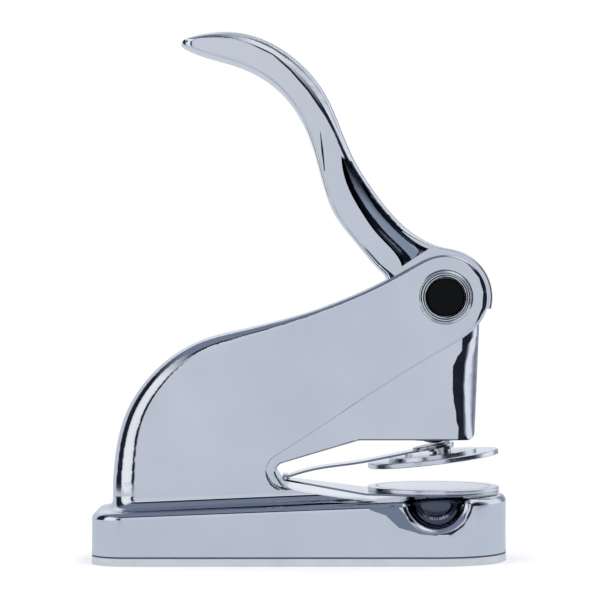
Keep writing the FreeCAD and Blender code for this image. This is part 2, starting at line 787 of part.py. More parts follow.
pad = pad_outline("0")
rim_edges = []
document.recompute()
for number, edge in enumerate(pad.Shape.Edges, start=1):
    if edge.BoundBox.ZMin > size("pad_height") - 0.01:
        rim_edges.append((number, size("pad_tuck"), size("pad_tuck")))
pad_tucked = document.addObject("Part::Chamfer", "pad_tucked")
pad_tucked.Base = pad
pad_tucked.Edges = rim_edges
keep("base_pad", pad_tucked)


# ---- axle ----

axle_end = "(sizes.cheek_face - sizes.cap_seat - sizes.axle_end_gap)"
keep("axle_pin", cylinder("axle", "sizes.axle_radius", "2 * " + axle_end, "sizes.axle_x", axle_end,
                          "sizes.axle_z", TO_RIGHT))
keep("hub_sleeve", turned("bearing", [
    ("sizes.axle_bore", "0"), ("sizes.axle_bore + sizes.sleeve_wall", "0"),
    ("sizes.axle_bore + sizes.sleeve_wall", "sizes.handle_width"),
    ("sizes.axle_bore", "sizes.handle_width")],
    "sizes.axle_x", "sizes.handle_width / 2", "sizes.axle_z", TO_RIGHT))

for hand, facing, face in (("right", TO_RIGHT, "-sizes.cheek_face"), ("left", TO_LEFT, "sizes.cheek_face")):
    # sleeve in the cheek, bevelled flange, groove, and the raised lip that holds the plug
    lip = "sizes.cap_radius + sizes.ring_lip"
    keep("axle_ring_" + hand, turned("ring_" + hand, [
        ("sizes.axle_bore", "-sizes.ring_depth"), ("sizes.ring_sleeve_radius", "-sizes.ring_depth"),
        ("sizes.ring_sleeve_radius", "0"), ("sizes.ring_radius", "0"),
        ("sizes.ring_radius", "sizes.ring_flange - sizes.ring_bevel"),
        ("sizes.ring_radius - sizes.ring_bevel", "sizes.ring_flange"),
        (lip + " + sizes.ring_groove", "sizes.ring_flange"),
        (lip + " + sizes.ring_groove", "sizes.ring_flange - sizes.ring_bevel"),
        (lip, "sizes.ring_flange - sizes.ring_bevel"), (lip, "sizes.ring_proud - sizes.ring_bevel"),
        (lip + " - sizes.ring_bevel", "sizes.ring_proud"),
        ("sizes.cap_radius + sizes.ring_bevel", "sizes.ring_proud"),
        ("sizes.cap_radius + sizes.cap_clearance", "sizes.ring_proud - sizes.ring_bevel"),
        ("sizes.cap_radius + sizes.cap_clearance", "-sizes.cap_seat"),
        ("sizes.axle_bore", "-sizes.cap_seat")],
        "sizes.axle_x", face, "sizes.axle_z", facing))
    keep("axle_cap_" + hand, turned("cap_" + hand, [
        ("0", "-sizes.cap_seat"), ("sizes.cap_radius", "-sizes.cap_seat"),
        ("sizes.cap_radius", "sizes.cap_proud - sizes.cap_bevel"),
        ("sizes.cap_radius - sizes.cap_bevel", "sizes.cap_proud"), ("0", "sizes.cap_proud")],
        "sizes.axle_x", face, "sizes.axle_z", facing))


# ---- plunger, its guide and its return spring ----

keep("guide_bush", turned("bush", [
    ("sizes.stem_bore", "-sizes.bush_flange"),
    ("sizes.bush_flange_radius", "-sizes.bush_flange"), ("sizes.bush_flange_radius", "0"),
    ("sizes.bore_radius", "0"), ("sizes.bore_radius", "sizes.bush_top - sizes.nose_z"),
    ("sizes.stem_bore", "sizes.bush_top - sizes.nose_z")],
    "sizes.die_x", "0", "sizes.nose_z"))

stem_length = "sizes.head_bottom - sizes.dome_z + sizes.foot_dome + sizes.edge_break"
stem = cylinder("stem", "sizes.plunger_radius", stem_length, "sizes.die_x", "0",
                "sizes.dome_z - sizes.foot_dome")
dome = document.addObject("Part::Sphere", "dome")
dome.setExpression("Radius", "sizes.foot_dome")
bind_place(dome, "sizes.die_x", "0", "sizes.dome_z")
above_dome = cylinder("above_dome", "sizes.foot_dome", "sizes.head_top - sizes.dome_z",
                      "sizes.die_x", "0", "sizes.dome_z")
domed_stem = document.addObject("Part::Common", "domed_stem")
domed_stem.Base = stem
domed_stem.Tool = joined("dome_limit", [dome, above_dome])
head = box("head", "2 * (sizes.head_reach - sizes.head_clearance)", "2 * sizes.head_half",
           "sizes.head_thickness",
           "sizes.die_x - sizes.head_reach", "-sizes.head_half", "sizes.head_bottom")
keep("plunger", joined("push_rod", [domed_stem, head]))

keep("spring_washer", turned("washer", [
    ("sizes.stem_bore", "0"), ("sizes.bore_radius - sizes.washer_play", "0"),
    ("sizes.bore_radius - sizes.washer_play", "sizes.washer_thickness"),
    ("sizes.stem_bore", "sizes.washer_thickness")],
    "sizes.die_x", "0", "sizes.head_bottom - sizes.washer_thickness"))

coil = document.addObject("Part::Helix", "coil_line")
coil.setExpression("Radius", "sizes.spring_radius")
coil_height = "(sizes.head_bottom - sizes.washer_thickness - sizes.bush_top - sizes.spring_wire)"
coil.setExpression("Height", coil_height)
coil.setExpression("Pitch", coil_height + " / sizes.spring_coils")
bind_place(coil, "sizes.die_x", "0", "sizes.bush_top + sizes.spring_wire / 2")
wire = document.addObject("Part::RegularPolygon", "wire_section")
wire.Polygon = 6
wire.setExpression("Circumradius", "sizes.spring_wire / 2")
bind_place(wire, "sizes.die_x + sizes.spring_radius", "0", "sizes.bush_top + sizes.spring_wire / 2",
           Rotation(Vector(1, 0, 0), 90))
document.recompute()
spring = document.addObject("Part::Sweep", "return_coil")
spring.Sections = [wire]
spring.Spine = (coil, [f"Edge{number + 1}" for number in range(len(coil.Shape.Edges))])
spring.Solid = True
spring.Frenet = True
keep("return_spring", spring)


# ---- die clip ----

def tangent_point(x, y, cx, radius):
    """Where the line from (x, y) just touches the left side of the circle round (cx, 0)."""
    reach = math.hypot(cx - x, y)
    direction = math.atan2(-y, cx - x) + math.asin(radius / reach)
    run = math.sqrt(reach ** 2 - radius ** 2)
    return x + run * math.cos(direction), y + run * math.sin(direction)


def knuckle(x, z, radius, y0, y1):
    return Part.makeCylinder(radius, y1 - y0, Vector(x, y0, z), Vector(0, 1, 0))


knuckle_half = size("knuckle_width") / 2
knuckle_space = knuckle_half + size("knuckle_gap")


def lower_leaf():
    """Sheet that fans out from the clip's root to a disc under the lower die."""
    eye = size("clip_eye_radius")
    half = size("leaf_root_width") / 2
    bend = die_x - size("die_radius") - eye
    low = [side(clip_x, clip_z - eye), side(bend, leaf_bottom), side(far, leaf_bottom)]
    top = [spot + side(0, size("leaf_thickness")) for spot in reversed(low)]
    strip = slab(path(low + top + low[:1]), far)
    x, y = tangent_point(clip_x, half, die_x, size("die_radius"))
    rim = [Vector(clip_x, half, 0), Vector(x, y, 0), Vector(x, -y, 0), Vector(clip_x, -half, 0)]
    fan = Part.Face(Part.Wire(path(rim + rim[:1]))).extrude(Vector(0, 0, far))
    leaf = strip.common(fan.fuse(upright(size("die_radius"), die_x, 0, far)))
    eyes = [knuckle(clip_x, clip_z, eye, y0, y1)
            for y0, y1 in ((-half, -knuckle_space), (knuckle_space, half))]
    leaf = leaf.multiFuse(eyes)
    notch = block(-far, clip_x + eye + size("eye_clearance"), -knuckle_space, knuckle_space, 0, far)
    hole = upright(size("peg_radius") + size("peg_clearance"), die_x, 0, far)
    pin_hole = across(size("clip_pin_radius") + size("pin_clearance"), far, clip_x, clip_z)
    return leaf.cut([notch, hole, pin_hole])


def upper_leaf():
    """Springy strip from the clip's root up to the wear pad under the plunger, built level."""
    eye = size("clip_eye_radius")
    metal = size("leaf_thickness")
    half = size("upper_leaf_width") / 2
    end = (die_x - size("pad_back") - clip_x) / math.cos(math.radians(size("leaf_tilt")))
    bow = size("leaf_bow")
    run = die_x - size("die_radius") - clip_x
    corners = [side(0, metal / 2), side(run, metal / 2), side(run, -metal / 2), side(0, -metal / 2)]
    faces = []
    for lift in (metal / 2, -metal / 2):
        spots = [side(0, lift), side(run * 0.4, bow + lift), side(run, lift)]
        faces.append(smooth(spots, side(1, 0.16), side(1, 0)).toShape())
    rear_end, front_end = path([corners[3], corners[0]]) + path(corners[1:3])
    strip = slab([faces[0], front_end, faces[1], rear_end], 2 * half)
    strip = strip.fuse(block(run, end, -half, half, -metal / 2, metal / 2))
    leaf = strip.fuse(upright(size("leaf_end_radius"), end, -metal / 2, metal / 2))
    leaf = leaf.fuse(knuckle(0, 0, eye, -knuckle_half, knuckle_half))
    notches = [block(-far, eye + size("eye_clearance"), y0, y1, -far, far)
               for y0, y1 in ((-far, -knuckle_half), (knuckle_half, far))]
    eye_x, eye_z = turn(rocker_x - clip_x, rocker_z - clip_z, -size("leaf_tilt"))
    rocker_eye = knuckle(eye_x, eye_z, 2 * size("rocker_pin_radius"), -knuckle_half, knuckle_half)
    leaf = leaf.cut(notches).fuse(rocker_eye)
    holes = [across(size("clip_pin_radius") + size("pin_clearance"), far, 0, 0),
             across(size("rocker_pin_radius") + size("pin_clearance"), far, eye_x, eye_z)]
    return leaf.cut(holes), end


def tilted(piece, degrees, x, z):
    """A part built level, turned nose-up about its own origin and put in place."""
    piece.Placement = Placement(Vector(x, 0, z), Rotation(Vector(0, -1, 0), degrees))
    return piece


leaf_tilt = size("leaf_tilt")
upper_leaf_shape, leaf_end = upper_leaf()
keep("lower_leaf_spring", shaped("lower_leaf", lower_leaf()))
keep("upper_leaf_spring", tilted(shaped("upper_leaf", upper_leaf_shape), leaf_tilt, clip_x, clip_z))


def on_leaf(along, up):
    """Position of a spot on the tilted upper leaf, as expressions-ready numbers."""
    x, z = turn(along, up, leaf_tilt)
    return clip_x + x, clip_z + z


def on_die(along, up):
    """A spot on the tilted upper die, measured from the middle of its working face."""
    x, z = turn(along, up, size("upper_die_tilt"))
    return die_x + x, die_open_z + z


def leaf_disc(label, corners, along, up):
    x, z = on_leaf(along, up)
    return turned(label, corners, str(x), "0", str(z), Rotation(Vector(0, -1, 0), leaf_tilt))


keep("pressure_pad", leaf_disc("wear_pad", [
    ("0", "0"), ("sizes.pad_radius", "0"), ("sizes.pad_radius", "sizes.pad_thickness - sizes.edge_break"),
    ("sizes.pad_radius - sizes.edge_break", "sizes.pad_thickness"), ("0", "sizes.pad_thickness")],
    leaf_end, size("leaf_thickness") / 2))
stud_middle = size("upper_die_thickness") + size("holder_thickness") + size("stud_height") / 2
stud_spot = on_die(size("stud_ahead"), stud_middle)
stud_along = turn(stud_spot[0] - clip_x, stud_spot[1] - clip_z, -leaf_tilt)[0]
keep("pad_ferrule", leaf_disc("ferrule", [
    ("sizes.stud_radius + sizes.ferrule_gap", "0"),
    ("sizes.stud_radius + sizes.ferrule_gap", "-sizes.ferrule_height"),
    ("sizes.stud_radius + sizes.ferrule_gap + sizes.ferrule_wall", "-sizes.ferrule_height"),
    ("sizes.stud_radius + sizes.ferrule_gap + sizes.ferrule_wall", "0")],
    stud_along, -size("leaf_thickness") / 2))

keep("clip_pin", cylinder("root_pin", "sizes.clip_pin_radius", "sizes.leaf_root_width", "sizes.clip_x",
                          "sizes.leaf_root_width / 2", "sizes.clip_z", TO_RIGHT))
keep("lower_die", turned("lower_plate", [
    ("0", "0"), ("sizes.die_radius - sizes.edge_break", "0"), ("sizes.die_radius", "sizes.edge_break"),
    ("sizes.die_radius", "sizes.lower_die_thickness - sizes.edge_break"),
    ("sizes.die_radius - sizes.edge_break", "sizes.lower_die_thickness"),
    ("sizes.die_border_radius + sizes.die_border", "sizes.lower_die_thickness"),
    ("sizes.die_border_radius + sizes.die_border", "sizes.lower_die_thickness - sizes.die_border_depth"),
    ("sizes.die_border_radius", "sizes.lower_die_thickness - sizes.die_border_depth"),
    ("sizes.die_border_radius", "sizes.lower_die_thickness"), ("0", "sizes.lower_die_thickness")],
    "sizes.die_x", "0", "sizes.leaf_top"))
keep("locating_peg", cylinder("peg", "sizes.peg_radius", "sizes.peg_length", "sizes.die_x", "0",
                              "sizes.leaf_bottom - sizes.peg_sunk"))


# ---- upper die on its rocker ----

def die_disc(label, corners, along=0, up=0):
    x, z = on_die(along, up)
    return turned(label, corners, str(x), "0", str(z), Rotation(Vector(0, -1, 0), size("upper_die_tilt")))


keep("upper_die", die_disc("upper_plate", [
    ("0", "0"), ("sizes.die_border_radius", "0"), ("sizes.die_border_radius", "sizes.die_border_depth"),
    ("sizes.die_border_radius + sizes.die_border", "sizes.die_border_depth"),
    ("sizes.die_border_radius + sizes.die_border", "0"), ("sizes.die_radius - sizes.edge_break", "0"),
    ("sizes.die_radius", "sizes.edge_break"),
    ("sizes.die_radius", "sizes.upper_die_thickness - sizes.edge_break"),
    ("sizes.die_radius - sizes.edge_break", "sizes.upper_die_thickness"),
    ("0", "sizes.upper_die_thickness")]))


def holder():
    """Disc that carries the upper die, with a window for the leaf's eye and two ears for the pin."""
    thick = size("holder_thickness")
    x, z = turn(-size("rocker_back"), rocker_z - die_open_z, -size("upper_die_tilt"))
    z -= size("upper_die_thickness")
    disc = upright(size("holder_radius"), 0, 0, thick)
    half = size("upper_leaf_width") / 2 + size("ear_gap")
    wall = size("ear_thickness")
    eye = 2 * size("rocker_pin_radius")
    for y0 in (-half - wall, half):
        ear = block(x - eye, x + eye, y0, y0 + wall, thick / 2, z)
        disc = disc.multiFuse([ear, knuckle(x, z, eye, y0, y0 + wall)])
    reach = eye + size("eye_clearance")
    window = block(x - reach, x + reach, -knuckle_space, knuckle_space, -far, far)
    return disc.cut([window, across(size("rocker_pin_radius"), far, x, z)])


holder_x, holder_z = on_die(0, size("upper_die_thickness"))
keep("holder_disc", tilted(shaped("holder", holder()), size("upper_die_tilt"), holder_x, holder_z))
pin_end = "(sizes.upper_leaf_width / 2 + sizes.ear_gap + sizes.ear_thickness)"
keep("rocker_pin", cylinder("rocker", "sizes.rocker_pin_radius", "2 * " + pin_end, "sizes.rocker_x", pin_end,
                            "sizes.rocker_z", TO_RIGHT))
keep("holder_stud", die_disc("stud", [
    ("0", "0"), ("sizes.stud_radius", "0"), ("sizes.stud_radius", "sizes.stud_height - sizes.edge_break"),
    ("sizes.stud_radius - sizes.edge_break", "sizes.stud_height"), ("0", "sizes.stud_height")],
    size("stud_ahead"), size("upper_die_thickness") + size("holder_thickness")))


# ---- check and write ----

document.recompute()
for thing in document.Objects:
    if "Invalid" in thing.State or "Error" in thing.State:
        raise RuntimeError(f"{thing.Label}: {thing.State}")

os.makedirs("parts", exist_ok=True)
for label, piece in subparts.items():
    if piece.Shape.isNull() or not piece.Shape.isValid():
        raise RuntimeError(f"{label} has no valid shape")
    piece.Shape.exportStep(f"parts/{label}.step")
print(len(subparts), "parts written")
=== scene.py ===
import json
import math
import bpy
import mathutils
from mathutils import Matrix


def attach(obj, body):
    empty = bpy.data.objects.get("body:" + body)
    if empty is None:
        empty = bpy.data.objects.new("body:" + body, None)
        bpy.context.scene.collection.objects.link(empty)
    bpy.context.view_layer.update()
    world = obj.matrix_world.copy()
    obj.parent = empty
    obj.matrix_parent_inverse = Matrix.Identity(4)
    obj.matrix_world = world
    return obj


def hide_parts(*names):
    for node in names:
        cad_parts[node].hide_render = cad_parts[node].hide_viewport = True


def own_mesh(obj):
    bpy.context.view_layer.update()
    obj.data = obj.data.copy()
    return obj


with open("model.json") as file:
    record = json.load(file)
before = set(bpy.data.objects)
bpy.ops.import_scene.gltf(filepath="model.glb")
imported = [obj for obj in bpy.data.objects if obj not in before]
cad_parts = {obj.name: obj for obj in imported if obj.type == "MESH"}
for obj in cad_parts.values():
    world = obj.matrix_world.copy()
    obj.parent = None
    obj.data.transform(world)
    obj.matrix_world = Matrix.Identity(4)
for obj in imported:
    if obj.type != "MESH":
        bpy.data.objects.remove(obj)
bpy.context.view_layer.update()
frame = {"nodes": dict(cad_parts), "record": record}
print("frame loaded:", len(frame["nodes"]), "nodes")

scene = bpy.context.scene
scene.view_settings.view_transform = "Standard"

greyBlue = (0.595, 0.645, 0.725)
leftGrey = (0.64, 0.685, 0.75)
rightGrey = (0.645, 0.685, 0.755)
highGrey = (0.70, 0.735, 0.79)
paleBlue = (0.86, 0.90, 0.97)
nearWhite = (0.98, 0.99, 1.0)
midBlue = (0.19, 0.225, 0.31)
inkBlue = (0.012, 0.016, 0.028)
shadowBlue = (0.07, 0.085, 0.12)


def makeActive(thing):
    bpy.ops.object.select_all(action="DESELECT")
    thing.select_set(True)
    bpy.context.view_layer.objects.active = thing


def newMaterial(name, colour, metal, rough):
    material = bpy.data.materials.new(name)
    material.use_nodes = True
    tree = material.node_tree
    shader = tree.nodes["Principled BSDF"]
    shader.inputs["Base Color"].default_value = (*colour, 1)
    shader.inputs["Metallic"].default_value = metal
    shader.inputs["Roughness"].default_value = rough
    return material, tree, shader


# an input takes a value, or a link where another node's output is given
def addNode(tree, kind, inputs=None, **settings):
    node = tree.nodes.new(kind)
    for key, value in settings.items():
        setattr(node, key, value)
    for key, value in (inputs or {}).items():
        if isinstance(value, bpy.types.NodeSocket):
            tree.links.new(value, node.inputs[key])
        else:
            node.inputs[key].default_value = value
    return node


def objectPoint(tree):
    return addNode(tree, "ShaderNodeTexCoord").outputs["Object"]


def split(tree, vector):
    parts = addNode(tree, "ShaderNodeSeparateXYZ", {"Vector": vector})
    return [parts.outputs[axis] for axis in "XYZ"]


def makeMath(tree, operation, *values):
    return addNode(tree, "ShaderNodeMath", dict(enumerate(values)), operation=operation).outputs["Value"]


def product(tree, first, *others):
    for other in others:
        first = makeMath(tree, "MULTIPLY", first, other)
    return first


def vectorMath(tree, operation, *values, output="Vector"):
    return addNode(tree, "ShaderNodeVectorMath", dict(enumerate(values)), operation=operation).outputs[output]


def scaleVector(tree, vector, share):
    scaled = addNode(tree, "ShaderNodeVectorMath", {0: vector, "Scale": share}, operation="SCALE")
    return scaled.outputs["Vector"]


def spread(tree, source, low, high, fromLow=0.3, fromHigh=0.7):
    ranger = addNode(tree, "ShaderNodeMapRange", {"Value": source, "From Min": fromLow, "From Max": fromHigh,
                                                  "To Min": low, "To Max": high})
    return ranger.outputs["Result"]


def objectNoise(tree, size, detail, stretch=(1, 1, 1)):
    mapping = addNode(tree, "ShaderNodeMapping", {"Vector": objectPoint(tree), "Scale": stretch})
    noise = addNode(tree, "ShaderNodeTexNoise",
                    {"Vector": mapping.outputs["Vector"], "Scale": 1 / size, "Detail": detail})
    return noise.outputs["Fac"]


def makeRamp(tree, factor, stops, interpolation="LINEAR"):
    ramp = addNode(tree, "ShaderNodeValToRGB", {"Fac": factor})
    ramp.color_ramp.interpolation = interpolation
    elements = ramp.color_ramp.elements
    while len(elements) < len(stops):
        elements.new(1.0)
    for element, (position, colour) in zip(elements, stops):
        element.position = position
        element.color = (*colour, 1)
    return ramp.outputs["Color"]


def mixColours(tree, factor, first, second):
    mix = addNode(tree, "ShaderNodeMix", {"Factor": factor, "A": first, "B": second}, data_type="RGBA")
    return mix.outputs["Result"]


def mixShaders(tree, factor, first, second):
    return addNode(tree, "ShaderNodeMixShader", {"Fac": factor, 1: first, 2: second}).outputs["Shader"]


def tint(tree, shader, factor, dark, light):
    tree.links.new(mixColours(tree, factor, (*dark, 1), (*light, 1)), shader.inputs["Base Color"])


def darken(tree, shader, share, colour):
    base = shader.inputs["Base Color"].links[0].from_socket
    tree.links.new(mixColours(tree, share, base, (*colour, 1)), shader.inputs["Base Color"])


def roughen(tree, shader, source, low, high):
    tree.links.new(spread(tree, source, low, high), shader.inputs["Roughness"])


def addBump(tree, shader, height, depth):
    bump = addNode(tree, "ShaderNodeBump", {"Height": height, "Strength": 1.0, "Distance": depth})
    tree.links.new(bump.outputs["Normal"], shader.inputs["Normal"])


# the shading normal leans by a vector in the piece's own directions
def leanNormal(tree, shader, lean):
    turned = addNode(tree, "ShaderNodeVectorTransform", {"Vector": lean}, vector_type="VECTOR",
                     convert_from="OBJECT", convert_to="WORLD")
    normal = shader.inputs["Normal"].links[0].from_socket
    leaning = vectorMath(tree, "ADD", normal, turned.outputs["Vector"])
    tree.links.new(vectorMath(tree, "NORMALIZE", leaning), shader.inputs["Normal"])


# share of a line that runs along an edge of the piece, from its start towards the front
def edgeLine(tree, start, low, high, fade=0.0002):
    x, _, z = split(tree, objectPoint(tree))
    above = spread(tree, z, 0, 1, low - fade, low)
    below = spread(tree, z, 1, 0, high, high + fade)
    return product(tree, above, below, makeMath(tree, "GREATER_THAN", x, start))


def between(tree, value, low, high):
    return product(tree, makeMath(tree, "GREATER_THAN", value, low), makeMath(tree, "LESS_THAN", value, high))


# how far the shading leans at a distance past the start of a slope
def addLean(tree, past, leans):
    total = 0
    for (near, low), (far, high) in zip(leans, leans[1:]):
        total = makeMath(tree, "ADD", total, spread(tree, past, 0, high - low, near, far))
    return total


# the shading leans as if the nose's sides drew in: "starts" has z and x of where that begins, in mm
noseSlope = {"low": 43.0, "high": 78.0, "back": 50.0, "front": 60.0, "under": 1.0,
             "starts": [(43.0, 57.5), (45.5, 54.8), (49.0, 53.5), (55.0, 52.5), (62.0, 52.1),
                        (68.0, 52.5), (71.5, 54.0), (74.5, 56.8), (78.0, 59.5)],
             "leans": [(0.0, 0.0), (0.0004, 0.27), (0.0034, 0.38), (0.0058, 0.80), (0.0085, 0.92)],
             "ragged": 0.0003, "streaks": (0.0016, 3, (1, 1, 0.35))}


def addSlope(tree, shader):
    x, _, z = split(tree, objectPoint(tree))
    low, high, back, front = (noseSlope[key] for key in ("low", "high", "back", "front"))
    stops = [((level - low) / (high - low), [(along - back) / (front - back)] * 3)
             for level, along in noseSlope["starts"]]
    height = spread(tree, z, 0, 1, low / 1000, high / 1000)
    start = spread(tree, makeRamp(tree, height, stops), back / 1000, front / 1000, 0, 1)
    streaks = objectNoise(tree, *noseSlope["streaks"])
    ragged = spread(tree, streaks, -noseSlope["ragged"], noseSlope["ragged"])
    past = makeMath(tree, "ADD", makeMath(tree, "SUBTRACT", x, start), ragged)
    onNose = between(tree, z, (low - noseSlope["under"]) / 1000, high / 1000)
    forward = product(tree, addLean(tree, past, noseSlope["leans"]), onNose)
    leanNormal(tree, shader, addNode(tree, "ShaderNodeCombineXYZ", {"X": forward}).outputs["Vector"])


# the shading leans as if the lever's sides rounded over above this line, with x and z in mm
crown = {"side": 0.0084, "left": -37.0, "right": 17.0, "bottom": 135.0, "top": 185.0,
         "line": [(-37.0, 181.0), (-31.3, 182.2), (-24.3, 181.6), (-17.4, 179.0), (-9.6, 175.2),
                  (-3.6, 169.7), (2.5, 162.7), (8.5, 154.0), (14.1, 144.0), (17.0, 138.6)],
         "leans": [(0.0, 0.0), (0.00025, 0.32), (0.0010, 0.42), (0.0014, 0.55), (0.006, 0.60)],
         "steepLeans": [(0.0012, 0.0), (0.0024, 0.72)]}


# one ramp holds the line's height and which way is out of it
def crownStops():
    left, right, bottom, top = (crown[key] for key in ("left", "right", "bottom", "top"))
    line = crown["line"]
    stops = []
    for number, (x, z) in enumerate(line):
        before, after = line[max(number - 1, 0)], line[min(number + 1, len(line) - 1)]
        run, drop = after[0] - before[0], before[1] - after[1]
        steep = math.hypot(run, drop)
        stops.append(((x - left) / (right - left),
                      ((z - bottom) / (top - bottom), run / steep, max(drop / steep, 0))))
    return stops


def addCrown(tree, shader):
    x, y, z = split(tree, objectPoint(tree))
    across = spread(tree, x, 0, 1, crown["left"] / 1000, crown["right"] / 1000)
    found = addNode(tree, "ShaderNodeSeparateColor", {"Color": makeRamp(tree, across, crownStops())})
    height, upward, forward = (found.outputs[name] for name in ("Red", "Green", "Blue"))
    edge = spread(tree, height, crown["bottom"] / 1000, crown["top"] / 1000, 0, 1)
    past = product(tree, makeMath(tree, "SUBTRACT", z, edge), upward)
    steeper = product(tree, addLean(tree, past, crown["steepLeans"]), forward)
    onSide = makeMath(tree, "GREATER_THAN", makeMath(tree, "ABSOLUTE", y), crown["side"])
    amount = product(tree, makeMath(tree, "ADD", addLean(tree, past, crown["leans"]), steeper), onSide)
    lean = addNode(tree, "ShaderNodeCombineXYZ",
                   {"X": product(tree, amount, forward), "Z": product(tree, amount, upward)})
    leanNormal(tree, shader, lean.outputs["Vector"])


# lines along which the shading leans in x and z, as over low swells: points with x, z and half width in mm
swells = {
    "frame_casting": [
        {"depths": (0.0156, 0.0171), "lean": (0.32, 0), "lines": [
            [(57.7, 102.8, 0.05), (61.6, 98.4, 0.35), (63.3, 93.5, 0.55), (62.9, 88.1, 0.5),
             (60.3, 82.8, 0.08)],
            [(58.2, 79.3, 0.05), (49.6, 74.0, 0.2), (41.1, 68.9, 0.28), (32.5, 63.8, 0.2),
             (25.6, 59.4, 0.06)]]},
        {"depths": (0.0148, 0.0171), "lean": (0.19, 0), "lines": [
            [(-0.1, 42.6, 0.10), (-9.3, 36.7, 0.28), (-11.2, 34.6, 0.40), (-11.9, 31.7, 0.30)]]},
        {"depths": (0.0148, 0.0171), "lean": (0.32, 0), "lines": [
            [(-11.9, 31.7, 0.2), (-11.0, 29.6, 0.25), (-9.9, 27.5, 0.60), (-7.8, 26.1, 0.70),
             (-2.9, 25.4, 0.10)]]},
        {"depths": (0.0240, 0.03), "lean": (-0.05, 0.9), "lines": [
            [(24.0, 19.6, 0.4), (30.5, 18.6, 1.6)], [(31.5, 18.4, 2.4), (34.5, 15.5, 2.3)],
            [(34.5, 14.9, 1.9), (40.5, 12.2, 0.9)], [(40.5, 12.0, 0.9), (46.3, 10.8, 0.3)]]},
        {"depths": (0.0225, 0.03), "lean": (-0.02, 0.30), "lines": [
            [(46.4, 11.2, 0.4), (50.8, 11.5, 0.9), (55.0, 14.3, 0.8), (58.4, 19.4, 0.3)]]},
    ],
    "handle": [
        {"depths": (0.0086, 0.03), "lean": (-0.23, 0), "lines": [
            [(15.6, 116.4, 0.12), (27.6, 102.9, 0.30), (31.2, 98.4, 1.5)],
            [(6.9, 148.8, 0.15), (7.6, 142.6, 0.42), (8.4, 135.4, 0.22)],
            [(-41.0, 179.6, 0.3), (-36.8, 181.1, 0.45)]]},
    ],
}


# 1 within the half width of a line between two points, and 0 away from it
def nearLine(tree, point, first, last, fade=0.00025):
    start, end = (mathutils.Vector((x / 1000, 0, z / 1000)) for x, z, _ in (first, last))
    along = end - start
    offset = vectorMath(tree, "SUBTRACT", point, start)
    reach = vectorMath(tree, "DOT_PRODUCT", offset, along / along.length_squared, output="Value")
    share = spread(tree, reach, 0, 1, 0, 1)
    gap = vectorMath(tree, "DISTANCE", offset, scaleVector(tree, along, share), output="Value")
    half = spread(tree, share, first[2] / 1000, last[2] / 1000, 0, 1)
    return spread(tree, makeMath(tree, "SUBTRACT", gap, half), 1, 0, -fade / 2, fade / 2)


def addSwell(tree, shader, swell):
    x, y, z = split(tree, objectPoint(tree))
    point = addNode(tree, "ShaderNodeCombineXYZ", {"X": x, "Z": z}).outputs["Vector"]
    share = 0
    for line in swell["lines"]:
        for first, last in zip(line, line[1:]):
            share = makeMath(tree, "MAXIMUM", share, nearLine(tree, point, first, last))
    onSide = between(tree, makeMath(tree, "ABSOLUTE", y), *swell["depths"])
    leanX, leanZ = swell["lean"]
    leanNormal(tree, shader, scaleVector(tree, (leanX, 0, leanZ), product(tree, share, onSide)))


# in each finish a grain is its size, its detail and, where it has one, its stretch
plate = {"colour": (0.80, 0.82, 0.86), "shade": (0.74, 0.765, 0.81), "patches": (0.02, 4),
         "smears": (0.008, 5, (1, 1, 3)), "rough": (0.045, 0.11), "waves": (0.035, 1), "waveDepth": 0.00002,
         "paintedNoseReflection": (0.0197, 0.0423, 0.0427), "paintedNoseReflectionColour": (0.10, 0.12, 0.16)}


def makePlating(name):
    material, tree, shader = newMaterial(name, plate["colour"], metal=1.0, rough=0.07)
    patches = objectNoise(tree, *plate["patches"])
    tint(tree, shader, spread(tree, patches, 0, 1), plate["shade"], plate["colour"])
    # painted dark reflection in a line along the nose's lower edge
    darken(tree, shader, edgeLine(tree, *plate["paintedNoseReflection"]), plate["paintedNoseReflectionColour"])
    roughen(tree, shader, objectNoise(tree, *plate["smears"]), *plate["rough"])
    addBump(tree, shader, objectNoise(tree, *plate["waves"]), plate["waveDepth"])
    return material, tree, shader


def makeShapedPlating(name, addShape, node):
    material, tree, shader = makePlating(name)
    addShape(tree, shader)
    for swell in swells[node]:
        addSwell(tree, shader, swell)
    return material


turned = {"lines": (0.0006, 2), "depth": 0.000003, "smooth": 0.7, "coarse": 1.5}


def makeTurned(name, colour, rough):
    material, tree, shader = newMaterial(name, colour, metal=1.0, rough=rough)
    lines = objectNoise(tree, *turned["lines"])
    roughen(tree, shader, lines, rough * turned["smooth"], rough * turned["coarse"])
    addBump(tree, shader, lines, turned["depth"])
    return material


strip = {"face": (0.70, 0.71, 0.74), "edge": (0.20, 0.23, 0.29), "across": (0.75, 0.95),
         "grain": (0.0008, 3, (0.1, 1, 1)), "depth": 0.000003, "rough": (0.10, 0.18)}


# strip steel is darker on its sheared edges
def makeStripSteel():
    material, tree, shader = newMaterial("stripSteel", strip["face"], metal=1.0, rough=0.14)
    _, y, _ = split(tree, addNode(tree, "ShaderNodeTexCoord").outputs["Normal"])
    sheared = spread(tree, makeMath(tree, "ABSOLUTE", y), 0, 1, *strip["across"])
    tint(tree, shader, sheared, strip["face"], strip["edge"])
    grain = objectNoise(tree, *strip["grain"])
    roughen(tree, shader, grain, *strip["rough"])
    addBump(tree, shader, grain, strip["depth"])
    return material


ring = {"colour": (0.84, 0.86, 0.89), "centre": (0.0498, 0, 0.091601), "inner": 0.0066, "outer": 0.0096,
        "beads": [(0.03, 0), (0.20, 1), (0.40, 0), (0.47, 0), (0.70, 1), (0.97, 0)], "beadHeight": 0.0007,
        "smears": (0.002, 4), "rough": (0.045, 0.10)}


